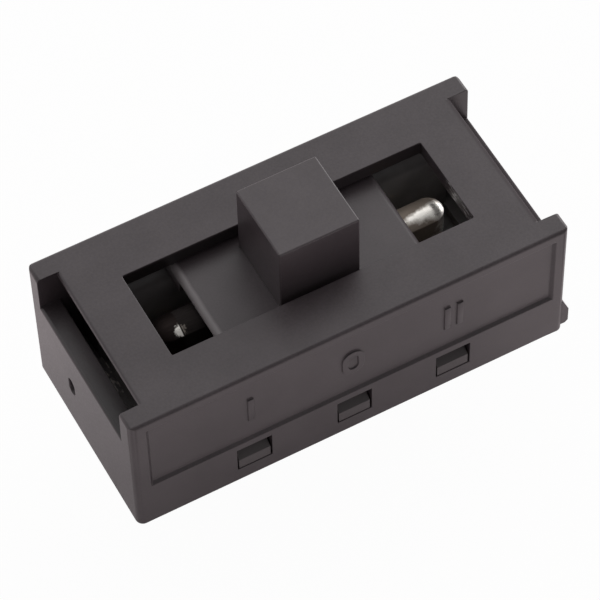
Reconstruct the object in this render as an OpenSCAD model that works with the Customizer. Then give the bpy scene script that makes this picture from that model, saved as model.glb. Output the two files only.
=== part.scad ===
// Three-position power slide switch with a rocking contact and quick-connect tabs.
// X runs along the body, the button slides along X, Z is up. The tab tips stand on z = 0.

/* [Housing] */
// Length of the housing over its corner ears
body_l = 30; // [26:0.5:40]
// Width of the housing
body_w = 13.8; // [13:0.1:18]
// Height of the housing from its lower rim to its top face
body_h = 10.6; // [10:0.1:13]
// Thickness of the long side walls, which run out into the ears
wall_t = 1.45; // [1.2:0.05:1.7]
// Thickness of the top plate around the slot
top_t = 1.1; // [0.9:0.05:1.3]
// Thickness of the end walls and depth of the notches above them
end_t = 1.38; // [1:0.02:1.6]
// Depth of the end windows, from the top face down to the low end walls
end_drop = 2.8; // [2.7:0.05:3.2]
// Radius of the upright corner edges
corner_r = 0.5; // [0.3:0.05:0.8]
// Radius of the edges along the top face
edge_r = 0.25; // [0.15:0.05:0.4]
// Length of the slot that the button runs in
slot_l = 20.65; // [20:0.05:22]
// Width of the slot
slot_w = 6.55; // [6.2:0.05:7.5]
// Depth of the marking fields sunk into both sides
field_d = 0.22; // [0.15:0.01:0.3]
// Height of the lower edge of the marking fields above the rim
field_z = 3.8; // [3.6:0.05:5]
// Height of the strip left between the marking fields and the top face
field_drop = 0.75; // [0.5:0.05:1.5]
// Thickness left at the tapered end edges of the top plate
lip_t = 0.35; // [0.25:0.05:0.5]
// Width of the two locating feet past the right end
foot_out = 0.4; // [0.2:0.05:1]
// Height of the position marks in the front field
mark_h = 2.2; // [1.4:0.1:3]
// Relief of the position marks
mark_t = 0.12; // [0.08:0.01:0.2]

/* [Snap fit] */
// Width of the six snap windows
window_w = 2.4; // [1.8:0.05:3]
// Height of the snap windows
window_h = 2.1; // [1.8:0.05:2.4]
// Height of the window sills above the rim
window_z = 1.15; // [1:0.05:1.4]
// Play of the base and its hooks in the housing
fit_gap = 0.1; // [0.05:0.01:0.15]

/* [Slider] */
// Length of the button along the slot
button_l = 5.45; // [5:0.05:6]
// Width of the button across the slot
button_w = 5.5; // [5.2:0.05:6]
// Height of the button above the top face
button_h = 4.2; // [3:0.1:6]
// Radius of the edges of the button
button_r = 0.12; // [0.1:0.02:0.4]
// Length of the carrier plate under the top plate
carrier_l = 14.2; // [13:0.1:14.5]
// Radius of the rounded top edges at the ends of the carrier
carrier_r = 0.4; // [0.2:0.05:0.6]
// Play above and below the carrier
slide_gap = 0.2; // [0.1:0.01:0.25]
// Travel of the slider each way from the middle
travel = 7; // [6:0.1:7.2]
// Thickness of the closed top of the button
cap_t = 1; // [0.8:0.1:1.5]

/* [Plunger] */
// Outer diameter of the plunger cup
plunger_d = 3; // [2.6:0.1:3.4]
// Length of the plunger cup
plunger_l = 3.7; // [3.2:0.1:4]
// Radial play of the plunger in its bore
run_gap = 0.05; // [0.03:0.01:0.08]
// Wire diameter of the plunger spring
wire_d = 0.3; // [0.2:0.02:0.36]
// Number of turns in the plunger spring
turns = 7; // [5:1:9]

/* [Rocker] */
// Length of the rocker over its rounded ends
rocker_l = 20; // [19:0.1:20.4]
// Width of the rocker trough
rocker_w = 2; // [1.9:0.05:2.2]
// Height of the rocker trough
rocker_h = 2.05; // [1.9:0.05:2.2]
// Sheet thickness of the rocker
rocker_t = 0.45; // [0.35:0.05:0.5]
// Radius of the crowned top of the rocker
crown_r = 1.6; // [1.4:0.1:2]
// Depth of the rocker crest under the top face
crest_drop = 1.95; // [1.95:0.05:2.3]
// Tilt of the rocker each way, in degrees
tilt = 6; // [4:0.5:6.5]
// Length of the pivot lugs in the middle of the rocker
lug_l = 3; // [2.4:0.1:4]
// Free room beside the rocker, which the horns of the centre terminal stand in
horn_room = 1.2; // [1:0.05:1.4]

/* [Terminals] */
// Spacing of the three terminals, and of the snap windows
pitch = 6.95; // [6.8:0.05:7.2]
// Width of the quick-connect tabs
tab_w = 4.8; // [4:0.1:5]
// Thickness of the terminal sheet
tab_t = 0.8; // [0.6:0.05:0.9]
// Length of the tabs below the housing rim
tab_out = 6.4; // [5:0.1:6.8]
// Diameter of the holes in the tabs
tab_hole_d = 1.4; // [1.2:0.1:1.8]
// Distance from the middle to the fixed contacts
contact_x = 8.55; // [8.3:0.05:8.6]
// Diameter of the fixed contact heads
contact_d = 2.6; // [2:0.1:2.7]
// Height of the fixed contact heads
contact_h = 0.55; // [0.4:0.05:0.7]

/* [Base] */
// Share of the height under the shelves that the base plate takes
base_share = 0.6; // [0.5:0.01:0.7]
// Width of the rails that carry the slider
rail_w = 2; // [1.6:0.1:2.2]
// Height of the barrier ribs between the terminals
barrier_h = 2.2; // [1:0.1:2.4]

/* [Hidden] */
$fn = 48;

// cavity of the housing
cav_w = body_w - 2 * wall_t;
cav_l = body_l - 2 * end_t;
roof_z = body_h - top_t;

// carrier runs between the roof and the rails of the base
carrier_top = roof_z - slide_gap;
end_h = body_h - end_drop;
carrier_bottom = end_h + slide_gap;
carrier_w = cav_w - 2 * slide_gap;
rail_top = carrier_bottom - slide_gap / 2;

// rocker trough and its pivot on the centre terminal
crest_z = body_h - crest_drop;
rocker_r = rocker_w / 2;
trough_ri = rocker_r - rocker_t;
crown_z = crest_z - crown_r;
skirt_z = crest_z - rocker_h;
pivot_r = tab_t / 2;
pivot_z = skirt_z - pivot_r - 0.05;
pivot_gap = 0.03;

// room over the crest grows with the tilt, because the far half rises under the carrier
rise = pow(carrier_l / 4, 2) * (tilt * PI / 180) / travel;
channel_z = crest_z + rise + 0.1;
channel_w = 2 * (rocker_r + horn_room);

// plunger rests on the crest and its spring bears on the end of the bore
plunger_tip = crest_z + 0.03;
bore_d = plunger_d + 2 * run_gap;
bore_top = body_h + button_h - cap_t;
nose_r = 0.3 * plunger_d;
cup_floor = plunger_tip + 0.3 * plunger_l;
cup_d = 0.7 * plunger_d;
spring_d = cup_d - 4 * run_gap;

// contacts close with a hair of room at full tilt
tip_z = skirt_z - 0.35;
tip_r = trough_ri - 0.02;
tip_flat = tip_r - 0.2;
close_z = pivot_z + (tip_z - pivot_z) * cos(tilt) - (contact_x + tip_flat) * sin(tilt);
head_top = close_z - 0.05;
shelf_top = head_top - contact_h;
base_t = base_share * (shelf_top - tab_t);
shelf_end = contact_x + contact_d / 2 + 0.25;
shelf_w = contact_d + 0.6;
shank_d = contact_d / 2;
blade_w = tab_w + 0.6;
joint = tab_t / 4;
saddle_w = rocker_w + 0.4;

// base fills the cavity up to its play
base_l = cav_l - 2 * fit_gap;
base_w = cav_w - 2 * fit_gap;
slot_play = 0.05;
rail_l = base_l - 2.4;

// every module below is drawn with the lower rim of the housing at zero
module lift() {
    translate([0, 0, tab_out])
        children();
}

module at_ends() {
    children();
    mirror([1, 0, 0])
        children();
}

module at_sides() {
    children();
    mirror([0, 1, 0])
        children();
}

// rectangle with round corners, made of exact arcs
module round_plan(l, w, r) {
    square([l - 2 * r, w], center = true);
    square([l, w - 2 * r], center = true);
    for (x = [-1, 1], y = [-1, 1])
        translate([x * (l / 2 - r), y * (w / 2 - r)])
            circle(r = r);
}

// slot shape with full round ends
module stadium(l, w) {
    square([l - w, w], center = true);
    for (x = [-1, 1])
        translate([x * (l - w) / 2, 0])
            circle(d = w);
}

// bar along X that takes a round off the edge at y = 0, z = 0
module edge_cut(l, r) {
    translate([-l / 2, 0, 0])
        rotate([90, 0, 90])
            linear_extrude(l)
                difference() {
                    translate([-r, -r])
                        square(2 * r);
                    translate([-r, -r])
                        circle(r = r);
                }
}

// cutter for the sunk marking field on the front, with sloping edges
module marking_field() {
    left = -13.75 / 30 * body_l;
    right = 13.85 / 30 * body_l;
    top = body_h - field_drop;
    out = 0.2;
    slope = field_d + out;
    deep = -body_w / 2 + field_d;
    intersection() {
        translate([-body_l / 2, 0, 0])
            rotate([90, 0, 90])
                linear_extrude(body_l)
                    polygon([[deep - slope, field_z - out], [deep, field_z + field_d],
                             [deep, top - field_d], [deep - slope, top + out]]);
        linear_extrude(body_h)
            polygon([[left, deep], [left - slope, deep - slope],
                     [right + slope, deep - slope], [right, deep]]);
    }
}

// bar, ring and double bar that mark the three positions
module position_marks() {
    stroke = mark_h / 5;
    middle = (field_z + body_h - field_drop) / 2;
    translate([0, -body_w / 2 + field_d + 0.1, middle])
        rotate([90, 0, 0])
            linear_extrude(mark_t + 0.1) {
                translate([-travel, 0])
                    square([stroke, mark_h], center = true);
                for (x = [-1, 1])
                    translate([travel + x * stroke, 0])
                        square([stroke, mark_h], center = true);
                difference() {
                    rotate(90)
                        stadium(mark_h, mark_h * 0.7);
                    rotate(90)
                        stadium(mark_h - 2 * stroke, mark_h * 0.7 - 2 * stroke);
                }
            }
}

module housing_shell() {
    linear_extrude(body_h)
        round_plan(body_l, body_w, corner_r);
    // locating feet at the right end
    at_sides()
        translate([body_l / 2 + foot_out, body_w / 2 - 0.15, 0])
            rotate([90, 0, 0])
                linear_extrude(1.1)
                    polygon([[-foot_out - 0.7, 0.3], [-0.2, 0.3], [0, 0.5], [0, 1.7],
                             [-foot_out, 2.6], [-foot_out - 0.7, 2.6]]);
}

module housing() {
    color("#565354")
        lift() {
            position_marks();
            difference() {
                housing_shell();
                at_sides()
                    marking_field();
                // cavity, open below
                translate([-cav_l / 2, -cav_w / 2, -1])
                    cube([cav_l, cav_w, roof_z + 1]);
                // notches over the end walls, which leave the ears
                at_ends()
                    translate([cav_l / 2, -cav_w / 2, end_h])
                        cube([end_t + 1, cav_w, body_h]);
                // taper under the end edges of the top plate
                at_ends()
                    translate([cav_l / 2, cav_w / 2, 0])
                        rotate([90, 0, 0])
                            linear_extrude(cav_w)
                                polygon([[0.1, body_h - lip_t], [0.1, roof_z - 0.1],
                                         [-1.3, roof_z - 0.1], [-1.3, roof_z],
                                         [0, body_h - lip_t]]);
                // slot for the button
                translate([0, 0, roof_z - 1])
                    linear_extrude(top_t + 2)
                        round_plan(slot_l, slot_w, 0.1);
                // blind recess in the left end wall
                translate([-body_l / 2 - 1, body_w / 8, 0.38 * body_h])
                    rotate([90, 0, 90])
                        linear_extrude(1 + end_t / 2)
                            rotate(90)
                                stadium(1.4, 0.8);
                // snap windows
                for (x = [-pitch, 0, pitch])
                    translate([x - window_w / 2, -body_w, window_z])
                        cube([window_w, 2 * body_w, window_h]);
                // rounded edges of the top face, of the plate ends and of the end walls
                at_sides()
                    translate([0, body_w / 2, body_h])
                        edge_cut(body_l + 1, edge_r);
                at_ends()
                    translate([body_l / 2, 0, body_h])
                        rotate(-90)
                            edge_cut(body_w + 1, edge_r);
                at_ends()
                    translate([cav_l / 2, 0, body_h])
                        rotate(-90)
                            edge_cut(cav_w, lip_t * 0.6);
                at_ends()
                    translate([body_l / 2, 0, end_h])
                        rotate(-90)
                            edge_cut(cav_w, 0.8 * edge_r);
            }
        }
}

// hook with an upright nose in the window and a ramp behind it
module hook() {
    hook_w = window_w - 2 * fit_gap;
    sill = window_z + fit_gap / 4;
    nose = body_w / 2 - fit_gap / 2;
    translate([-hook_w / 2, 0, 0])
        rotate([90, 0, 90])
            linear_extrude(hook_w)
                polygon([[base_w / 2 - 0.5, sill], [nose, sill], [nose, window_z + 0.9],
                         [base_w / 2, window_z + window_h - 0.2],
                         [base_w / 2 - 0.5, window_z + window_h - 0.2]]);
}

module base_solid() {
    translate([-base_l / 2, -base_w / 2, 0])
        cube([base_l, base_w, base_t]);
    // rails that carry the slider
    at_sides()
        translate([-rail_l / 2, base_w / 2 - rail_w, 0])
            cube([rail_l, rail_w, rail_top]);
    for (x = [-pitch, 0, pitch])
        translate([x, 0, 0])
            at_sides()
                hook();
    // barrier ribs between the terminals, and gussets against the rails
    at_ends()
        translate([pitch / 2 - 0.5, -base_w / 2, 0])
            cube([1, base_w, base_t + barrier_h]);
    // pillars under the shelves of the outer terminals
    at_ends()
        translate([pitch + tab_t / 2 + 0.9, -shelf_w / 2, 0])
            cube([shelf_end - pitch - tab_t / 2 - 0.9, shelf_w, shelf_top - tab_t]);
    // end blocks
    at_ends()
        translate([base_l / 2 - 1.4, -base_w / 2, 0])
            cube([1.4, base_w, base_t + 0.8]);
}

module base() {
    color("#3c3a3a")
        lift()
            difference() {
                base_solid();
                // slots for the terminals
                for (x = [-pitch, 0, pitch])
                    translate([x - tab_t / 2 - slot_play, -tab_w / 2 - slot_play, -1])
                        cube([tab_t + 2 * slot_play, tab_w + 2 * slot_play, base_t + 2]);
                // wells round the tabs on the underside
                for (x = [-pitch, 0, pitch])
                    translate([x, 0, -1])
                        linear_extrude(1 + base_t / 4)
                            round_plan(pitch / 2, tab_w + 2.2, 0.6);
                // room for the tails of the contact rivets
                at_ends()
                    translate([contact_x, 0, base_t])
                        cylinder(d = shank_d + 0.5, h = body_h);
            }
}

module slider_solid() {
    // carrier with rounded top edges at its ends
    difference() {
        translate([-carrier_l / 2, -carrier_w / 2, carrier_bottom])
            cube([carrier_l, carrier_w, carrier_top - carrier_bottom]);
        at_ends()
            translate([carrier_l / 2, 0, carrier_top])
                rotate(-90)
                    edge_cut(carrier_w + 1, carrier_r);
    }
    // button with rounded edges
    difference() {
        translate([0, 0, carrier_top - 0.2])
            linear_extrude(body_h + button_h - carrier_top + 0.2)
                round_plan(button_l, button_w, button_r);
        at_sides()
            translate([0, button_w / 2, body_h + button_h])
                edge_cut(button_l + 1, button_r);
        at_ends()
            translate([button_l / 2, 0, body_h + button_h])
                rotate(-90)
                    edge_cut(button_w + 1, button_r);
    }
}

module slider() {
    color("#504d4e")
        lift()
            difference() {
                slider_solid();
                // channel over the rocker, with a round roof to its sides
                translate([-carrier_l, -channel_w / 2, carrier_bottom - 1])
                    cube([2 * carrier_l, channel_w, channel_z - carrier_bottom + 1]);
                // bore for the plunger
                translate([0, 0, carrier_bottom])
                    cylinder(d = bore_d, h = bore_top - carrier_bottom);
                // lightening pockets in the carrier wings
                at_sides()
                    at_ends()
                        translate([1.6, channel_w / 2 + 0.8, carrier_bottom - 1])
                            cube([carrier_l / 2 - 2.6, carrier_w / 2 - channel_w / 2 - 1.6,
                                  carrier_top - carrier_bottom - 0.8 + 1]);
            }
}

module plunger() {
    color("#d8d4c8")
        lift()
            difference() {
                rotate_extrude()
                    difference() {
                        union() {
                            // rounded nose, cone and sleeve
                            intersection() {
                                translate([0, plunger_tip + nose_r])
                                    circle(r = nose_r);
                                translate([0, plunger_tip])
                                    square([nose_r, nose_r]);
                            }
                            polygon([[0, plunger_tip + nose_r], [nose_r, plunger_tip + nose_r],
                                     [plunger_d / 2, plunger_tip + 0.4 * plunger_l],
                                     [plunger_d / 2, plunger_tip + plunger_l],
                                     [0, plunger_tip + plunger_l]]);
                        }
                        translate([0, cup_floor])
                            square([cup_d / 2, plunger_l]);
                    }
            }
}

// coil with closed tube section, from one height to another
module coil(mean_r, wire_r, low, high, rounds) {
    steps = 20;
    sides = 8;
    rings = rounds * steps;
    rise_z = high - low - 2 * wire_r;
    points = [for (i = [0 : rings], k = [0 : sides - 1])
        let (a = 360 * i / steps, b = 360 * k / sides, r = mean_r + wire_r * cos(b))
            [r * cos(a), r * sin(a), low + wire_r + rise_z * i / rings + wire_r * sin(b)]];
    skin = [for (i = [0 : rings - 1], k = [0 : sides - 1])
        let (n = (k + 1) % sides)
            [i * sides + k, i * sides + n, (i + 1) * sides + n, (i + 1) * sides + k]];
    caps = [[for (k = [sides - 1 : -1 : 0]) k], [for (k = [0 : sides - 1]) rings * sides + k]];
    polyhedron(points = points, faces = concat(skin, caps), convexity = 10);
}

module plunger_spring() {
    color("#b9bcc0")
        lift()
            coil((spring_d - wire_d) / 2, wire_d / 2, cup_floor + 0.02, bore_top - 0.02, turns);
}

// half section of a bar with a crowned top, from its middle plane outwards
module crown_half(half_w, r, low) {
    intersection() {
        translate([0, crown_z])
            circle(r = r);
        translate([0, low])
            square([half_w, crown_z + r - low]);
    }
}

// bar along X with a crowned top and round ends
module crowned_bar(l, half_w, r, low) {
    run = l - 2 * half_w;
    translate([-run / 2, 0, 0])
        rotate([90, 0, 90])
            linear_extrude(run) {
                crown_half(half_w, r, low);
                mirror([1, 0])
                    crown_half(half_w, r, low);
            }
    for (x = [-1, 1])
        translate([x * run / 2, 0, 0])
            rotate_extrude()
                crown_half(half_w, r, low);
}

// drawn trough, open below, with pivot lugs in the middle
module rocker() {
    color("#c9c4b6")
        lift()
            difference() {
                union() {
                    crowned_bar(rocker_l, rocker_r, crown_r, skirt_z);
                    translate([-lug_l / 2, -rocker_r, pivot_z - 0.5])
                        cube([lug_l, rocker_w, crown_z - pivot_z + 0.5]);
                }
                // hollow of the trough
                crowned_bar(rocker_l - 2 * rocker_t, trough_ri, crown_r - rocker_t, skirt_z);
                translate([0, 0, skirt_z - 3])
                    linear_extrude(3.1)
                        stadium(rocker_l - 2 * rocker_t, 2 * trough_ri);
                // notches that sit on the rounded edge of the centre terminal
                translate([0, rocker_w, pivot_z])
                    rotate([90, 0, 0])
                        cylinder(r = pivot_r + pivot_gap, h = 2 * rocker_w);
                translate([0, rocker_w, pivot_z])
                    rotate([90, 0, 0])
                        linear_extrude(2 * rocker_w)
                            polygon([[-pivot_r - pivot_gap, 0], [-pivot_r - 0.3, -1],
                                     [pivot_r + 0.3, -1], [pivot_r + pivot_gap, 0]]);
            }
}

// half section of the contact plug: bevelled tip, shank and a dome under the crown
module plug_half() {
    polygon([[0, tip_z], [tip_flat, tip_z], [tip_r, tip_z + 0.2], [0, tip_z + 0.2]]);
    intersection() {
        translate([0, crown_z])
            circle(r = crown_r - rocker_t - 0.02);
        translate([0, tip_z + 0.2])
            square([tip_r, crest_z - tip_z]);
    }
}

// silver plug in the end of the trough
module moving_contact() {
    lift()
        translate([contact_x, 0, 0])
            rotate_extrude()
                plug_half();
}

module moving_contact_left() {
    color("#dadad6")
        mirror([1, 0, 0])
            moving_contact();
}

module moving_contact_right() {
    color("#dadad6")
        moving_contact();
}

// tab below the rim with bevelled tip corners and a round hole
module tab() {
    difference() {
        rotate([90, 0, 90])
            linear_extrude(tab_t, center = true)
                difference() {
                    polygon([[-tab_w / 2, base_t + joint], [-tab_w / 2, 0.9 - tab_out],
                             [-tab_w / 2 + 0.5, -tab_out], [tab_w / 2 - 0.5, -tab_out],
                             [tab_w / 2, 0.9 - tab_out], [tab_w / 2, base_t + joint]]);
                    translate([0, -tab_out * 0.55])
                        circle(d = tab_hole_d);
                }
        // lead-in bevels on both faces of the tip
        at_ends()
            translate([tab_t / 2, tab_w, -tab_out])
                rotate([90, 0, 0])
                    linear_extrude(2 * tab_w)
                        polygon([[-0.2, -0.1], [0.1, -0.1], [0.1, 0.7], [0, 0.7], [-0.2, 0]]);
    }
}

// outer terminal: tab, blade with shoulders on the base plate, bend and shelf
module outer_terminal() {
    bend = tab_t + 0.3;
    top = shelf_top;
    lift() {
        translate([pitch, 0, 0])
            tab();
        difference() {
            union() {
                translate([pitch - tab_t / 2, -blade_w / 2, base_t])
                    cube([tab_t, blade_w, top - bend - base_t]);
                translate([pitch - tab_t / 2, shelf_w / 2, top - bend])
                    rotate([90, 0, 0])
                        linear_extrude(shelf_w) {
                            difference() {
                                intersection() {
                                    translate([bend, 0])
                                        circle(r = bend);
                                    square(bend);
                                }
                                translate([bend, 0])
                                    circle(r = bend - tab_t);
                            }
                            // straight legs that reach into the blade and the shelf
                            translate([0, -joint])
                                square([tab_t, joint]);
                            translate([bend, bend - tab_t])
                                square([joint, tab_t]);
                        }
                translate([pitch - tab_t / 2 + bend, -shelf_w / 2, top - tab_t])
                    cube([shelf_end - pitch + tab_t / 2 - bend, shelf_w, tab_t]);
            }
            translate([contact_x, 0, 0])
                cylinder(d = shank_d, h = body_h);
        }
    }
}

module terminal_left() {
    color("#c8a850")
        mirror([1, 0, 0])
            outer_terminal();
}

module terminal_right() {
    color("#c8a850")
        outer_terminal();
}

// centre terminal: the rounded saddle edge carries the rocker between two horns
module terminal_centre() {
    horn_w = channel_w - 2 * slide_gap;
    horn_z = pivot_z + pivot_r + 0.6;
    color("#c8a850")
        lift() {
            tab();
            translate([-tab_t / 2, -blade_w / 2, base_t])
                cube([tab_t, blade_w, 1.6]);
            translate([-tab_t / 2, -horn_w / 2, base_t])
                cube([tab_t, horn_w, pivot_z - base_t]);
            translate([0, horn_w / 2, pivot_z])
                rotate([90, 0, 0])
                    cylinder(r = pivot_r, h = horn_w);
            at_sides()
                translate([-tab_t / 2, saddle_w / 2, pivot_z - 0.5])
                    cube([tab_t, (horn_w - saddle_w) / 2, horn_z - pivot_z + 0.5]);
        }
}

// rivet with a bevelled head on the shelf
module fixed_contact() {
    lift()
        translate([contact_x, 0, 0]) {
            translate([0, 0, shelf_top])
                cylinder(d = contact_d, h = contact_h - 0.2);
            translate([0, 0, head_top - 0.2])
                cylinder(d1 = contact_d, d2 = contact_d - 0.4, h = 0.2);
            translate([0, 0, shelf_top - tab_t])
                cylinder(d = shank_d, h = tab_t);
            translate([0, 0, shelf_top - tab_t - 0.2])
                cylinder(d1 = shank_d - 0.3, d2 = shank_d + 0.3, h = 0.2);
        }
}

module fixed_contact_left() {
    color("#d4d2cc")
        mirror([1, 0, 0])
            fixed_contact();
}

module fixed_contact_right() {
    color("#d4d2cc")
        fixed_contact();
}

housing();
base();
slider();
plunger();
plunger_spring();
rocker();
moving_contact_left();
moving_contact_right();
terminal_left();
terminal_centre();
terminal_right();
fixed_contact_left();
fixed_contact_right();
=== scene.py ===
import math

import bmesh
import bpy
from mathutils import Matrix, Vector


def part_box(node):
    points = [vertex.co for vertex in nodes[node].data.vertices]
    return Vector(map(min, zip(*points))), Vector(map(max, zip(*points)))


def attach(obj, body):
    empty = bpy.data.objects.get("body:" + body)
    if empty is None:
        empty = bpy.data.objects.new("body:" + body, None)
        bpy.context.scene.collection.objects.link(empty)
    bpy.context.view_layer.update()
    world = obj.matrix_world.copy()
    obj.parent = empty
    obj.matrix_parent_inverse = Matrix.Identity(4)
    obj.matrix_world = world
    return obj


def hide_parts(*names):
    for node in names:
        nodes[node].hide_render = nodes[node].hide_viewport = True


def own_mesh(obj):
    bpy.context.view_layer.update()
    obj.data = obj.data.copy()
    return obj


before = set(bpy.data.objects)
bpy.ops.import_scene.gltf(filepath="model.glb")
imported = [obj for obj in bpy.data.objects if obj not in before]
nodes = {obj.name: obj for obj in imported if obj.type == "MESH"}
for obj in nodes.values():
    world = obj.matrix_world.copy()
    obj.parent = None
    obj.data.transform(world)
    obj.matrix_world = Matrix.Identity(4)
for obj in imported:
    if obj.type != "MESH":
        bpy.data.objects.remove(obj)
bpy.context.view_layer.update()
mm = 0.001
noiseSpan = (0.3, 0.7)          # most of a noise texture's values lie between these
print("frame loaded:", len(nodes), "solids")


# small helpers

def hexLinear(code):
    channels = [int(code[i:i + 2], 16) / 255 for i in (1, 3, 5)]
    linear = [c / 12.92 if c <= 0.04045 else ((c + 0.055) / 1.055) ** 2.4 for c in channels]
    return (*linear, 1.0)


def addNode(tree, kind, settings=None, links=None):
    node = tree.nodes.new(kind)
    for key, value in (settings or {}).items():
        if isinstance(key, int) or key in node.inputs:
            node.inputs[key].default_value = value
        else:
            setattr(node, key, value)
    for key, source in (links or {}).items():
        tree.links.new(source, node.inputs[key])
    return node


def freshMaterial(name):
    material = bpy.data.materials.new(name)
    material.use_nodes = True
    material.node_tree.nodes.clear()
    return material, material.node_tree


def boxDistance(tree, place, middle, half):     # how far a point lies outside a box given in mm
    zero = (0, 0, 0)
    steps = [("SUBTRACT", Vector(middle) * mm), ("ABSOLUTE", zero),
             ("SUBTRACT", Vector(half) * mm), ("MAXIMUM", zero), ("LENGTH", zero)]
    for operation, amount in steps:
        node = addNode(tree, "ShaderNodeVectorMath", {"operation": operation, 1: amount},
                       {0: place})
        place = node.outputs[0]
    return node.outputs["Value"]


def dress(name, material):
    slots = nodes[name].data.materials
    slots.clear()
    slots.append(material)


# camera, fitted to the photograph's corners

cameraSet = {
    "azimuth": -27.10,          # degrees
    "elevation": 55.14,
    "roll": -1.77,
    "distance": 219.8,          # mm
    "target": (-0.024, 0.012, 11.355),
    "lens": 213.5,
    "sensor": 36,
    "clip": (0.01, 20),         # m
}


def makeCamera(s):
    a, e, r = (math.radians(s[k]) for k in ("azimuth", "elevation", "roll"))
    back = Vector((math.sin(a) * math.cos(e), -math.cos(a) * math.cos(e), math.sin(e)))
    across = Vector((0, 0, 1)).cross(back).normalized()
    up = back.cross(across)
    right = math.cos(r) * across + math.sin(r) * up
    top = -math.sin(r) * across + math.cos(r) * up
    data = bpy.data.cameras.new("camera")
    data.lens = s["lens"]
    data.sensor_width = s["sensor"]
    data.clip_start, data.clip_end = s["clip"]
    camera = bpy.data.objects.new("camera", data)
    turn = Matrix((right, top, back)).transposed().to_4x4()
    stand = Vector(s["target"]) * mm + back * (s["distance"] * mm)
    camera.matrix_world = Matrix.Translation(stand) @ turn
    bpy.context.scene.collection.objects.link(camera)
    bpy.context.scene.camera = camera


makeCamera(cameraSet)
print("camera set")


# floor, soft light and white surround

floorSet = {                    # white coated board: plain matt white, with no gloss of its own
    "name": "white board, matt coated",
    "size": 3.0,                # m
    "color": "#f2ebed",
    "eyeWhite": 0.97,           # share of plain white, for the eye
    "glossWhite": 0.74,         # and for the gloss on the part
    "glossTint": "#fff3f5",
    "footMiddle": (-8.0, -2.0, 0.0),    # mm, the shade at the part's foot leans to the front left
    "footHalf": (17.0, 8.0, 0.0),
    "footReach": 9.0,
    "footShare": 0.15,
}
softboxSet = {
    "place": Vector((0.50, 0.22, 0.28)),        # m
    "aim": Vector((0, 0, 0.012)),
    "size": 0.45,
    "power": 1.49,              # W
}
studioSet = {
    "frontLevel": 0.285,        # the studio is darker on the side of the camera
    "backLevel": 1.02,
    "frontEdge": (-0.20, 0.45),
    "leftShare": 0.70,          # and darker again to the left
    "leftEdge": (-0.70, -0.05),
}


def makeFloor(s):
    half = s["size"] / 2
    mesh = bpy.data.meshes.new("floor")
    mesh.from_pydata([(-half, -half, 0), (half, -half, 0), (half, half, 0), (-half, half, 0)],
                     [], [(0, 1, 2, 3)])
    floor = bpy.data.objects.new("floor", mesh)
    bpy.context.scene.collection.objects.link(floor)
    material, tree = freshMaterial(s["name"])
    path = addNode(tree, "ShaderNodeLightPath")
    # soft shade round the foot of the part, as distance from its footprint
    place = addNode(tree, "ShaderNodeTexCoord").outputs["Object"]
    far = boxDistance(tree, place, s["footMiddle"], s["footHalf"])
    level = addNode(tree, "ShaderNodeMapRange",
                    {"interpolation_type": "SMOOTHSTEP", "From Max": s["footReach"] * mm,
                     "To Min": s["footShare"] * s["glossWhite"], "To Max": s["glossWhite"]},
                    {"Value": far})
    gloss = addNode(tree, "ShaderNodeMath", {"operation": "MULTIPLY"},
                    {0: path.outputs["Is Glossy Ray"], 1: level.outputs["Result"]})
    white = addNode(tree, "ShaderNodeMath", {"operation": "MULTIPLY_ADD", 1: s["eyeWhite"]},
                    {0: path.outputs["Is Camera Ray"], 2: gloss.outputs[0]})
    paint = addNode(tree, "ShaderNodeBsdfDiffuse", {"Color": hexLinear(s["color"])})
    tint = addNode(tree, "ShaderNodeMix",
                   {"data_type": "RGBA", 6: (1, 1, 1, 1), 7: hexLinear(s["glossTint"])},
                   {0: path.outputs["Is Glossy Ray"]})
    glow = addNode(tree, "ShaderNodeEmission", {"Strength": 1.0}, {"Color": tint.outputs[2]})
    both = addNode(tree, "ShaderNodeMixShader", None,
                   {0: white.outputs[0], 1: paint.outputs[0], 2: glow.outputs[0]})
    addNode(tree, "ShaderNodeOutputMaterial", None, {"Surface": both.outputs[0]})
    mesh.materials.append(material)


def makeSoftbox(s):
    data = bpy.data.lights.new("softbox", "AREA")
    data.shape = "SQUARE"
    data.size = s["size"]
    data.energy = s["power"]
    box = bpy.data.objects.new("softbox", data)
    box.location = s["place"]
    box.rotation_euler = (s["place"] - s["aim"]).to_track_quat("Z", "Y").to_euler()
    bpy.context.scene.collection.objects.link(box)


def makeStudio(s):
    world = bpy.data.worlds.new("studio")
    bpy.context.scene.world = world
    world.use_nodes = True
    tree = world.node_tree
    tree.nodes.clear()
    path = addNode(tree, "ShaderNodeLightPath")
    toward = addNode(tree, "ShaderNodeTexCoord").outputs["Generated"]
    parts = addNode(tree, "ShaderNodeSeparateXYZ", None, {0: toward})
    level = addNode(tree, "ShaderNodeMapRange",
                    {"interpolation_type": "SMOOTHSTEP",
                     "From Min": s["frontEdge"][0], "From Max": s["frontEdge"][1],
                     "To Min": s["frontLevel"], "To Max": s["backLevel"]},
                    {"Value": parts.outputs["Y"]})
    share = addNode(tree, "ShaderNodeMapRange",
                    {"interpolation_type": "SMOOTHSTEP", "From Min": s["leftEdge"][0],
                     "From Max": s["leftEdge"][1], "To Min": s["leftShare"]},
                    {"Value": parts.outputs["X"]})
    dimmed = addNode(tree, "ShaderNodeMath", {"operation": "MULTIPLY"},
                     {0: level.outputs["Result"], 1: share.outputs["Result"]})
    seen = addNode(tree, "ShaderNodeMath", {"operation": "MAXIMUM"},
                   {0: path.outputs["Is Camera Ray"], 1: dimmed.outputs[0]})
    sky = addNode(tree, "ShaderNodeBackground", {"Color": (1, 1, 1, 1)},
                  {"Strength": seen.outputs[0]})
    addNode(tree, "ShaderNodeOutputWorld", None, {"Surface": sky.outputs[0]})


makeFloor(floorSet)
makeSoftbox(softboxSet)
makeStudio(studioSet)
print("stage set")


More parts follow.
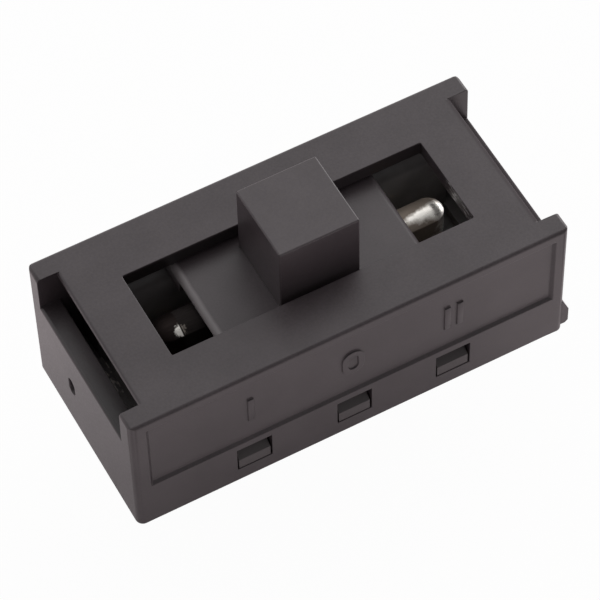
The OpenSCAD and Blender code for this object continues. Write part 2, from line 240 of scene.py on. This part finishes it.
# moulded plastics, sizes in mm; real mould pits are near 0.05 across, and the grain here is
# drawn three or four times as coarse so that it shows

plasticSets = {
    # glass fibres near the skin cloud the black, and the eroded pits leave it matt and warm
    "housing": {
        "name": "glass-filled nylon, spark-eroded mould",
        "dark": "#3e3639", "light": "#4b4346",
        "rough": (0.32, 0.40), "ior": 1.53,
        "grain": 0.16, "cloud": 3.0, "bump": 0.22, "pit": 0.02,
        "glints": [               # torn flash on the right wall of the slot, its glints painted in as pale shreds
            {"color": "#c4bfbf", "at": (10.33, -1.45, 16.45), "half": (0.06, 1.50, 0.45)},
        ],
        "paintedShade": [            # painted shade on the back wall of the slot, then on the ledge over the left end wall
            {"color": "#1c1819", "at": (0, 3.275, 16.2), "half": (10.4, 0.12, 0.6), "fade": 0.18,
             "along": "X", "thinAt": 3, "thickAt": -3, "share": (0.25, 0.85)},
            {"color": "#1c1819", "at": (-14.31, 0, 14.2), "half": (0.75, 5.5, 0.05), "fade": 0.12,
             "along": "Y", "thinAt": 1, "thickAt": -5, "share": (0.25, 0.8)},
        ],
        "dulled": {"from": 13.2, "fade": 0.3, "half": 5.4, "gain": 0.5},
    },
    # unfilled and finer, so the button has an even grey with a soft sheen on its top
    "slider": {
        "name": "acetal copolymer, satin mould",
        "dark": "#443c3f", "light": "#4e4649",
        "rough": (0.32, 0.40), "ior": 1.56,     # up from 1.48, for the sheen
        "grain": 0.14, "cloud": 2.2, "bump": 0.18, "pit": 0.02,
        "paintedHighlight": [             # painted highlight along the rounded left end of the carrier
            {"color": "#8f898a", "at": -6.95, "half": (0.35, 0.55), "ragged": 0.3,
             "between": (14.7, 15.5), "share": 0.6},
        ],
        "dulled": {"from": 6.7, "fade": 0.3, "half": 6.0, "gain": 0.5},
    },
    # the mineral fill greys it and blasting takes the shine, so dust hardly stands out on it
    "base": {
        "name": "mineral-filled nylon, bead-blasted mould",
        "dark": "#4a4445", "light": "#504a4b",
        "rough": (0.36, 0.46), "ior": 1.53,
        "grain": 0.18, "cloud": 2.5, "bump": 0.25, "pit": 0.02,
        "glints": [               # painted glints, as pale shreds under the left end window
            {"color": "#b2aca7", "at": (-12.3, 1.6, 9.55), "half": (0.5, 1.2, 0.05)},
        ],
        "dustAndFill": [              # dust in the well under the slider, laid on thicker as painted fill light where the well lies in shade
            {"color": "#8b8786", "well": (3.2, 3.6), "railShare": 0.50, "hooks": (5.0, 5.7),
             "along": (-12.5, -2), "leftShare": 0.15, "patchShare": 0.5, "patchSpan": (0.3, 0.6)},
        ],
    },
    # undyed, so milky white, and smooth enough to look waxy
    "plunger": {
        "name": "natural acetal, smooth mould",
        "dark": "#d2cec2", "light": "#dcd9ce",
        "rough": (0.28, 0.36), "ior": 1.48,
        "grain": 0.20, "cloud": 1.2, "bump": 0.06, "pit": 0.02,
    },
}
toneSpan = (0.35, 0.65)         # noise values at the dark and the light colour
shredSet = {
    "fade": 0.10,               # mm
    "size": 0.22,
    "squeeze": 0.35,            # of the pattern along Y, so the shreds run that way
    "paleSpan": (0.54, 0.64),
}


# each kind of mark gives the share of its colour at a point; clouds fray the edges of some. The
# pale shreds are painted glints, the pale line a painted highlight, the dark films painted shade,
# and the dust is partly painted fill light

def glintShreds(tree, place, cloud, s):       # painted glints: pale shreds, longer than wide
    far = boxDistance(tree, place, s["at"], s["half"])
    near = addNode(tree, "ShaderNodeMapRange",
                   {"From Min": shredSet["fade"] * mm, "From Max": 0.0}, {"Value": far})
    drawn = addNode(tree, "ShaderNodeMapping", {"Scale": (1.0, shredSet["squeeze"], 1.0)},
                    {"Vector": place})
    shred = addNode(tree, "ShaderNodeTexNoise",
                    {"Scale": 1 / mm / shredSet["size"], "Detail": 2.0, "Roughness": 0.6},
                    {"Vector": drawn.outputs[0]})
    pale = addNode(tree, "ShaderNodeMapRange",
                   {"From Min": shredSet["paleSpan"][0], "From Max": shredSet["paleSpan"][1]},
                   {"Value": shred.outputs["Fac"]})
    return addNode(tree, "ShaderNodeMath", {"operation": "MULTIPLY"},
                   {0: near.outputs["Result"], 1: pale.outputs["Result"]}).outputs[0]


def paintedShadeFilm(tree, place, cloud, s):     # painted shade: a dark film, thicker towards one end
    parts = addNode(tree, "ShaderNodeSeparateXYZ", None, {0: place})
    far = boxDistance(tree, place, s["at"], s["half"])
    near = addNode(tree, "ShaderNodeMapRange",
                   {"From Min": s["fade"] * mm, "From Max": 0.0}, {"Value": far})
    thick = addNode(tree, "ShaderNodeMapRange",
                    {"From Min": s["thinAt"] * mm, "From Max": s["thickAt"] * mm,
                     "To Min": s["share"][0], "To Max": s["share"][1]},
                    {"Value": parts.outputs[s["along"]]})
    return addNode(tree, "ShaderNodeMath", {"operation": "MULTIPLY"},
                   {0: near.outputs["Result"], 1: thick.outputs["Result"]}).outputs[0]


def paintedHighlightLine(tree, place, cloud, s):      # painted highlight: a pale line across the piece with ragged sides
    parts = addNode(tree, "ShaderNodeSeparateXYZ", None, {0: place})
    off = addNode(tree, "ShaderNodeMath", {"operation": "SUBTRACT", 1: s["at"] * mm},
                  {0: parts.outputs["X"]})
    aside = addNode(tree, "ShaderNodeMath", {"operation": "ABSOLUTE"}, {0: off.outputs[0]})
    ragged = addNode(tree, "ShaderNodeMath", {"operation": "MULTIPLY_ADD", 1: s["ragged"] * mm},
                     {0: cloud, 2: aside.outputs[0]})
    upper = addNode(tree, "ShaderNodeMapRange",
                    {"From Min": s["between"][0] * mm, "From Max": s["between"][1] * mm,
                     "To Max": s["share"]}, {"Value": parts.outputs["Z"]})
    band = addNode(tree, "ShaderNodeMapRange",
                   {"From Min": s["half"][1] * mm, "From Max": s["half"][0] * mm},
                   {"Value": ragged.outputs[0]})
    return addNode(tree, "ShaderNodeMath", {"operation": "MULTIPLY"},
                   {0: upper.outputs["Result"], 1: band.outputs["Result"]}).outputs[0]


def wellDustAndFill(tree, place, cloud, s):        # dust and painted fill light: patchy, thinner on the rails and to the left
    parts = addNode(tree, "ShaderNodeSeparateXYZ", None, {0: place})
    aside = addNode(tree, "ShaderNodeMath", {"operation": "ABSOLUTE"}, {0: parts.outputs["Y"]})
    inside = addNode(tree, "ShaderNodeMapRange",
                     {"From Min": s["well"][1] * mm, "From Max": s["well"][0] * mm,
                      "To Min": s["railShare"]}, {"Value": aside.outputs[0]})
    clean = addNode(tree, "ShaderNodeMapRange",         # none on the hooks
                    {"From Min": s["hooks"][1] * mm, "From Max": s["hooks"][0] * mm},
                    {"Value": aside.outputs[0]})
    along = addNode(tree, "ShaderNodeMapRange",
                    {"From Min": s["along"][0] * mm, "From Max": s["along"][1] * mm,
                     "To Min": s["leftShare"]}, {"Value": parts.outputs["X"]})
    spread = addNode(tree, "ShaderNodeMath", {"operation": "MULTIPLY"},
                     {0: clean.outputs["Result"], 1: along.outputs["Result"]})
    thick = addNode(tree, "ShaderNodeMath", {"operation": "MULTIPLY"},
                    {0: inside.outputs["Result"], 1: spread.outputs[0]})
    patchy = addNode(tree, "ShaderNodeMapRange",
                     {"From Min": s["patchSpan"][0], "From Max": s["patchSpan"][1],
                      "To Min": s["patchShare"]}, {"Value": cloud})
    return addNode(tree, "ShaderNodeMath", {"operation": "MULTIPLY"},
                   {0: thick.outputs[0], 1: patchy.outputs["Result"]}).outputs[0]


markKinds = {"glints": glintShreds, "paintedShade": paintedShadeFilm, "paintedHighlight": paintedHighlightLine, "dustAndFill": wellDustAndFill}


def mouldedPlastic(s):
    material, tree = freshMaterial(s["name"])
    place = addNode(tree, "ShaderNodeTexCoord").outputs["Object"]
    grain = addNode(tree, "ShaderNodeTexNoise",
                    {"Scale": 1 / mm / s["grain"], "Detail": 3.0, "Roughness": 0.6},
                    {"Vector": place}).outputs["Fac"]
    cloud = addNode(tree, "ShaderNodeTexNoise",
                    {"Scale": 1 / mm / s["cloud"], "Detail": 2.0, "Roughness": 0.5},
                    {"Vector": place}).outputs["Fac"]
    # grain and clouds have half of the tone each
    clouded = addNode(tree, "ShaderNodeMath", {"operation": "MULTIPLY", 1: 0.5}, {0: cloud})
    mixed = addNode(tree, "ShaderNodeMath", {"operation": "MULTIPLY_ADD", 1: 0.5},
                    {0: grain, 2: clouded.outputs[0]})
    tone = addNode(tree, "ShaderNodeMapRange",
                   {"From Min": toneSpan[0], "From Max": toneSpan[1]}, {"Value": mixed.outputs[0]})
    color = addNode(tree, "ShaderNodeMix",
                    {"data_type": "RGBA", 6: hexLinear(s["dark"]), 7: hexLinear(s["light"])},
                    {0: tone.outputs["Result"]}).outputs[2]
    for kind, markShare in markKinds.items():
        for spot in s.get(kind, []):
            color = addNode(tree, "ShaderNodeMix",
                            {"data_type": "RGBA", 7: hexLinear(spot["color"])},
                            {0: markShare(tree, place, cloud, spot), 6: color}).outputs[2]
    rough = addNode(tree, "ShaderNodeMapRange",
                    {"From Min": noiseSpan[0], "From Max": noiseSpan[1],
                     "To Min": s["rough"][0], "To Max": s["rough"][1]},
                    {"Value": grain}).outputs["Result"]
    if "dulled" in s:           # the edges at the right end have lost their shine
        worn = s["dulled"]
        parts = addNode(tree, "ShaderNodeSeparateXYZ", None, {0: place})
        right = addNode(tree, "ShaderNodeMapRange",
                        {"From Min": worn["from"] * mm,
                         "From Max": (worn["from"] + worn["fade"]) * mm,
                         "To Max": worn["gain"]}, {"Value": parts.outputs["X"]})
        between = addNode(tree, "ShaderNodeMath",
                          {"operation": "COMPARE", 1: 0.0, 2: worn["half"] * mm},
                          {0: parts.outputs["Y"]})
        rough = addNode(tree, "ShaderNodeMath",
                        {"operation": "MULTIPLY_ADD", "use_clamp": True},
                        {0: right.outputs["Result"], 1: between.outputs[0], 2: rough}).outputs[0]
    bump = addNode(tree, "ShaderNodeBump", {"Strength": s["bump"], "Distance": s["pit"] * mm},
                   {"Height": grain})
    skin = addNode(tree, "ShaderNodeBsdfPrincipled", {"IOR": s["ior"]},
                   {"Base Color": color, "Roughness": rough, "Normal": bump.outputs["Normal"]})
    addNode(tree, "ShaderNodeOutputMaterial", None, {"Surface": skin.outputs[0]})
    return material


for piece, plasticSet in plasticSets.items():
    dress(piece, mouldedPlastic(plasticSet))
print("plastics done")


# metals, sizes in mm; draw and rolling marks are near 0.03 across, and are drawn three to
# five times as coarse so that they show

metalSets = {
    # grey, with a bright line along the wire that the draw marks break up
    "plunger_spring": {"name": "spring steel wire, drawn", "dark": "#8d8f92", "light": "#b4b6b8",
                       "rough": (0.22, 0.34), "streak": 0.10, "bump": 0.05},
    # white and soft to the eye, with hardly a mark
    "contact": {"name": "fine silver, coined", "dark": "#d4d2cc", "light": "#e6e4df",
                "rough": (0.24, 0.36), "streak": 0.15, "bump": 0.06},
    # yellow, with a satin of rolling marks that spreads the light
    "terminal": {"name": "brass sheet, stamped", "dark": "#b3924f", "light": "#cdb070",
                 "rough": (0.28, 0.42), "streak": 0.12, "bump": 0.10},
}
rolledSet = {
    "squeeze": 0.08,            # of the pattern along X, so the marks run that way
    "toneSize": 1.1,
    "depth": 0.01,
}


def plainMetal(s):
    material, tree = freshMaterial(s["name"])
    place = addNode(tree, "ShaderNodeTexCoord").outputs["Object"]
    drawn = addNode(tree, "ShaderNodeMapping", {"Scale": (rolledSet["squeeze"], 1.0, 1.0)},
                    {"Vector": place})
    streak = addNode(tree, "ShaderNodeTexNoise",
                     {"Scale": 1 / mm / s["streak"], "Detail": 3.0, "Roughness": 0.6},
                     {"Vector": drawn.outputs[0]})
    tone = addNode(tree, "ShaderNodeTexNoise",
                   {"Scale": 1 / mm / rolledSet["toneSize"], "Detail": 2.0}, {"Vector": place})
    color = addNode(tree, "ShaderNodeMix",
                    {"data_type": "RGBA", 6: hexLinear(s["dark"]), 7: hexLinear(s["light"])},
                    {0: tone.outputs["Fac"]})
    rough = addNode(tree, "ShaderNodeMapRange",
                    {"From Min": noiseSpan[0], "From Max": noiseSpan[1],
                     "To Min": s["rough"][0], "To Max": s["rough"][1]},
                    {"Value": streak.outputs["Fac"]})
    bump = addNode(tree, "ShaderNodeBump",
                   {"Strength": s["bump"], "Distance": rolledSet["depth"] * mm},
                   {"Height": streak.outputs["Fac"]})
    skin = addNode(tree, "ShaderNodeBsdfPrincipled", {"Metallic": 1.0},
                   {"Base Color": color.outputs[2], "Roughness": rough.outputs["Result"],
                    "Normal": bump.outputs["Normal"]})
    addNode(tree, "ShaderNodeOutputMaterial", None, {"Surface": skin.outputs[0]})
    return material


# silver-plated copper with use: bright along the crest, tan where the plating is thin, and black on
# the left arm with painted shade
armSet = {
    "name": "silver-plated copper, drawn and worn",
    # the last colour is painted shade for the left arm
    "plating": "#f4f0ea", "copper": "#7d7268", "armShade": "#2a2423",
    "rough": (0.22, 0.40), "copperRough": 0.30, "armShadeRough": 0.30,      # the last two add to it
    "streak": 0.10, "squeeze": 0.10, "streakShare": 0.3,                # draw marks along X
    "patch": 0.60, "bump": 0.20, "depth": 0.05,
    "crest": -0.30, "crestHalf": (0.12, 0.48), "crestBlur": 0.8,
    "tip": (7.2, 9.4), "tipShift": (0.20, -0.30),       # the bright crest widens from the carrier's end to the right tip: painted shade by the carrier, painted highlight at the tip
    # where the painted shade on the left arm begins, and how far it fades
    "armShadeFrom": -3.0, "armShadeFade": 1.0,
    # a spot left clear of the painted shade so that the plating's glint shows, and a line of
    # painted shade across it
    "clearSpot": (-8.48, -0.62, 14.9), "clearSpotSize": 0.36, "clearSpotBlur": 1.2, "clearSpotFade": 0.08,
    "shadeLine": -8.40, "shadeLineHalf": (0.03, 0.07),
    "bareFade": 0.05, "bareShare": 0.85,        # the spot left clear is tan to the right of the line of painted shade
    "tarnish": 0.5,
}


def wornAndShadedArm(s):
    material, tree = freshMaterial(s["name"])
    place = addNode(tree, "ShaderNodeTexCoord").outputs["Object"]
    parts = addNode(tree, "ShaderNodeSeparateXYZ", None, {0: place})
    drawn = addNode(tree, "ShaderNodeMapping", {"Scale": (s["squeeze"], 1.0, 1.0)},
                    {"Vector": place})
    streak = addNode(tree, "ShaderNodeTexNoise",
                     {"Scale": 1 / mm / s["streak"], "Detail": 3.0, "Roughness": 0.6},
                     {"Vector": drawn.outputs[0]}).outputs["Fac"]
    patch = addNode(tree, "ShaderNodeTexNoise",
                    {"Scale": 1 / mm / s["patch"], "Detail": 4.0, "Roughness": 0.65},
                    {"Vector": place}).outputs["Fac"]

    # the plating thins away from the crest, where the copper shows through; the bright band is set
    # to the front of the crest, where the highlight falls, so it is partly painted highlight
    across = addNode(tree, "ShaderNodeMath", {"operation": "SUBTRACT", 1: s["crest"] * mm},
                     {0: parts.outputs["Y"]})
    aside = addNode(tree, "ShaderNodeMath", {"operation": "ABSOLUTE"}, {0: across.outputs[0]})
    shift = addNode(tree, "ShaderNodeMapRange",
                    {"From Min": s["tip"][0] * mm, "From Max": s["tip"][1] * mm,
                     "To Min": s["tipShift"][0] * mm, "To Max": s["tipShift"][1] * mm},
                    {"Value": parts.outputs["X"]})
    shifted = addNode(tree, "ShaderNodeMath", {"operation": "ADD"},
                      {0: aside.outputs[0], 1: shift.outputs["Result"]})
    ragged = addNode(tree, "ShaderNodeMath", {"operation": "MULTIPLY_ADD", 1: s["crestBlur"] * mm},
                     {0: patch, 2: shifted.outputs[0]})
    meanBlur = s["crestBlur"] / 2       # the patches add this much on average
    thin = addNode(tree, "ShaderNodeMapRange",
                   {"From Min": (s["crestHalf"][0] + meanBlur) * mm,
                    "From Max": (s["crestHalf"][1] + meanBlur) * mm}, {"Value": ragged.outputs[0]})

    # on the left arm it is whole, but for the bare side of the spot left clear of painted shade
    left = addNode(tree, "ShaderNodeMapRange",
                   {"From Min": (s["armShadeFrom"] + s["armShadeFade"]) * mm,
                    "From Max": s["armShadeFrom"] * mm}, {"Value": parts.outputs["X"]})
    whole = addNode(tree, "ShaderNodeMath", {"operation": "SUBTRACT", "use_clamp": True},
                    {0: thin.outputs["Result"], 1: left.outputs["Result"]})
    bare = addNode(tree, "ShaderNodeMapRange",
                   {"From Min": s["shadeLine"] * mm, "From Max": (s["shadeLine"] + s["bareFade"]) * mm,
                    "To Max": s["bareShare"]}, {"Value": parts.outputs["X"]})
    bareLeft = addNode(tree, "ShaderNodeMath", {"operation": "MULTIPLY"},
                       {0: bare.outputs["Result"], 1: left.outputs["Result"]})
    gone = addNode(tree, "ShaderNodeMath", {"operation": "MAXIMUM"},
                   {0: whole.outputs[0], 1: bareLeft.outputs[0]})
    bright = addNode(tree, "ShaderNodeMix",
                     {"data_type": "RGBA", 6: hexLinear(s["plating"]), 7: hexLinear(s["copper"])},
                     {0: gone.outputs[0]})

    # painted shade covers the left arm, except for a spot left clear so that the plating's glint
    # shows, with a line of painted shade across it
    reach = addNode(tree, "ShaderNodeVectorMath",
                    {"operation": "DISTANCE", 1: Vector(s["clearSpot"]) * mm}, {0: place})
    blurred = addNode(tree, "ShaderNodeMath", {"operation": "MULTIPLY_ADD", 1: s["clearSpotBlur"] * mm},
                      {0: patch, 2: reach.outputs["Value"]})
    spotEdge = s["clearSpotSize"] + s["clearSpotBlur"] / 2
    outside = addNode(tree, "ShaderNodeMapRange",
                      {"From Min": (spotEdge - s["clearSpotFade"]) * mm,
                       "From Max": (spotEdge + s["clearSpotFade"]) * mm}, {"Value": blurred.outputs[0]})
    beside = addNode(tree, "ShaderNodeMath", {"operation": "SUBTRACT", 1: s["shadeLine"] * mm},
                     {0: parts.outputs["X"]})
    apart = addNode(tree, "ShaderNodeMath", {"operation": "ABSOLUTE"}, {0: beside.outputs[0]})
    shadeLine = addNode(tree, "ShaderNodeMapRange",
                      {"From Min": s["shadeLineHalf"][1] * mm, "From Max": s["shadeLineHalf"][0] * mm},
                      {"Value": apart.outputs[0]})
    covered = addNode(tree, "ShaderNodeMath", {"operation": "MAXIMUM"},
                      {0: outside.outputs["Result"], 1: shadeLine.outputs["Result"]})
    armShade = addNode(tree, "ShaderNodeMath", {"operation": "MULTIPLY"},
                   {0: left.outputs["Result"], 1: covered.outputs[0]})
    color = addNode(tree, "ShaderNodeMix", {"data_type": "RGBA", 7: hexLinear(s["armShade"])},
                    {0: armShade.outputs[0], 6: bright.outputs[2]})

    # bare copper and the painted shade scatter the light, and bare copper tarnishes
    fine = addNode(tree, "ShaderNodeMapRange",
                   {"From Min": noiseSpan[0], "From Max": noiseSpan[1],
                    "To Min": s["rough"][0], "To Max": s["rough"][1]}, {"Value": streak})
    dull = addNode(tree, "ShaderNodeMath", {"operation": "MULTIPLY_ADD", 1: s["copperRough"]},
                   {0: gone.outputs[0], 2: fine.outputs["Result"]})
    rough = addNode(tree, "ShaderNodeMath", {"operation": "MULTIPLY_ADD", 1: s["armShadeRough"]},
                    {0: armShade.outputs[0], 2: dull.outputs[0]})
    relief = addNode(tree, "ShaderNodeMath", {"operation": "MULTIPLY_ADD", 1: s["streakShare"]},
                     {0: streak, 2: patch})
    bump = addNode(tree, "ShaderNodeBump", {"Strength": s["bump"], "Distance": s["depth"] * mm},
                   {"Height": relief.outputs[0]})
    tarnish = addNode(tree, "ShaderNodeMath",
                      {"operation": "MULTIPLY_ADD", 1: -s["tarnish"], 2: 1.0},
                      {0: gone.outputs[0]})
    skin = addNode(tree, "ShaderNodeBsdfPrincipled", None,
                   {"Base Color": color.outputs[2], "Roughness": rough.outputs[0],
                    "Metallic": tarnish.outputs[0], "Normal": bump.outputs["Normal"]})
    addNode(tree, "ShaderNodeOutputMaterial", None, {"Surface": skin.outputs[0]})
    return material


metals = {key: plainMetal(metalSet) for key, metalSet in metalSets.items()}
dress("rocker", wornAndShadedArm(armSet))
for side in ("left", "right"):
    dress("moving_contact_" + side, metals["contact"])
    dress("fixed_contact_" + side, metals["contact"])
for side in ("left", "centre", "right"):
    dress("terminal_" + side, metals["terminal"])
print("metals done")


# spring, wound here in place of the part's own spring and carried with the slide

springSet = {
    "wire": 0.30,               # mm
    "turns": 7.0,
    "endTurns": 1.0,            # closed turns at each end
    "endPitch": 0.32,
    "steps": 28,                # points to a turn
    "sides": 10,
    "travel": 0.5,              # mm that the plunger takes up
}


def windSpring(s):
    low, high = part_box("plunger_spring")
    wire = s["wire"] * mm / 2
    radius = (high[0] - low[0]) / 2 - wire
    middle = Vector(((low[0] + high[0]) / 2, (low[1] + high[1]) / 2, 0))
    rise = high[2] - low[2] - 2 * wire
    ends = s["endTurns"] * s["endPitch"] * mm
    openPitch = (rise - 2 * ends) / (s["turns"] - 2 * s["endTurns"])
    rings = round(s["turns"] * s["steps"])
    points, faces = [], []
    for i in range(rings + 1):
        turn = i / s["steps"]
        lower = min(turn, s["endTurns"])
        upper = max(turn - s["turns"] + s["endTurns"], 0)
        z = (lower + upper) * s["endPitch"] * mm + (turn - lower - upper) * openPitch
        angle = 2 * math.pi * turn
        out = Vector((math.cos(angle), math.sin(angle), 0))
        for k in range(s["sides"]):
            side = 2 * math.pi * k / s["sides"]
            points.append(middle + out * (radius + wire * math.cos(side))
                          + Vector((0, 0, low[2] + wire + z + wire * math.sin(side))))
    for i in range(rings):
        for k in range(s["sides"]):
            a, b = i * s["sides"] + k, i * s["sides"] + (k + 1) % s["sides"]
            faces.append((a, a + s["sides"], b + s["sides"], b))
    faces.append(tuple(range(s["sides"])))      # flat cut ends
    faces.append(tuple(rings * s["sides"] + k for k in reversed(range(s["sides"]))))
    mesh = bpy.data.meshes.new("pressure_spring")
    mesh.from_pydata(points, [], faces)
    mesh.shade_smooth()
    for face in mesh.polygons[-2:]:
        face.use_smooth = False
    mesh.materials.append(metals["plunger_spring"])
    spring = bpy.data.objects.new("pressure_spring", mesh)
    bpy.context.scene.collection.objects.link(spring)
    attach(spring, "slide")
    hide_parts("plunger_spring")
    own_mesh(spring)


windSpring(springSet)
print("spring wound")


# broken edges on every solid

edgeWidths = {                  # mm
    "housing": 0.05, "slider": 0.06, "base": 0.04, "plunger": 0.04, "rocker": 0.03,
    "terminal_left": 0.05, "terminal_centre": 0.05, "terminal_right": 0.05,
    "fixed_contact_left": 0.03, "fixed_contact_right": 0.03,
    "moving_contact_left": 0.03, "moving_contact_right": 0.03,
}
edgeSet = {
    "weld": 0.0008,             # mm, points nearer than this are one
    "sharpAngle": 28,           # degrees, an edge that turns more is broken
    "flatAngle": 0.4,           # facets that turn less are one flat
    "segments": 2,
}
keepSharp = {                   # corners too tight to break, as boxes in mm
    "housing": [((14.2, -8.2, 6.2), (15.8, 8.2, 9.6)),          # locating feet
                ((-14.2, -7.2, 16.2), (-13.2, 7.2, 17.2)),      # ends of the top plate
                ((13.2, -7.2, 16.2), (14.2, 7.2, 17.2))],
    "terminal_centre": [((-3, -3, 12), (3, 3, 15))],            # edge that the rocker tips on
    "slider": [((-3, -3, 15.6), (3, 3, 15.8))],                 # foot of the button
    "base": [((-13, 3.2, 14.2), (13, 3.5, 14.4)),               # rails
             ((-13, -3.5, 14.2), (13, -3.2, 14.4))],
}
for x in (-14.9, 14.9):         # and where the low end walls meet the ears
    for y in (-5.45, 5.45):
        keepSharp["housing"].append(((x - 0.25, y - 0.15, 13.9), (x + 0.25, y + 0.15, 14.3)))


def breakEdges(name, width, s):
    solid = nodes[name]
    mesh = solid.data
    mesh.shade_smooth()
    points = bmesh.new()
    points.from_mesh(mesh)
    same = bmesh.ops.find_doubles(points, verts=points.verts[:], dist=s["weld"] * mm)["targetmap"]
    first = {v.index: same.get(v, v).index for v in points.verts}
    facing = {}                 # outward directions met at each edge, over the split points
    for face in points.faces:
        for edge in face.edges:
            key = frozenset(first[v.index] for v in edge.verts)
            facing.setdefault(key, []).append(face.normal.copy())
    weights, hard = [], []
    for edge in points.edges:
        sides = facing.get(frozenset(first[v.index] for v in edge.verts), [])
        sharp = len(sides) == 2 and sides[0].angle(sides[1], 0) > math.radians(s["sharpAngle"])
        middle = (edge.verts[0].co + edge.verts[1].co) / 2 / mm
        tight = any(all(low[i] < middle[i] < high[i] for i in range(3))
                    for low, high in keepSharp.get(name, []))
        weights.append(1.0 if sharp and not tight else 0.0)
        hard.append(sharp and tight)
    points.free()
    mesh.attributes.new("bevel_weight_edge", "FLOAT", "EDGE").data.foreach_set("value", weights)
    for edge, isHard in zip(mesh.edges, hard):
        edge.use_edge_sharp = isHard
    join = solid.modifiers.new("joinPoints", "WELD")
    join.merge_threshold = s["weld"] * mm
    flats = solid.modifiers.new("mergeFlats", "DECIMATE")
    flats.decimate_type = "DISSOLVE"
    flats.angle_limit = math.radians(s["flatAngle"])
    soft = solid.modifiers.new("breakEdges", "BEVEL")
    soft.width = width * mm
    soft.segments = s["segments"]
    soft.limit_method = "WEIGHT"
    soft.use_clamp_overlap = False
    solid.modifiers.new("evenShade", "WEIGHTED_NORMAL").keep_sharp = True


for name, width in edgeWidths.items():
    breakEdges(name, width, edgeSet)
print("edges broken")


bpy.context.scene.view_settings.view_transform = "Standard"
bpy.context.view_layer.update()
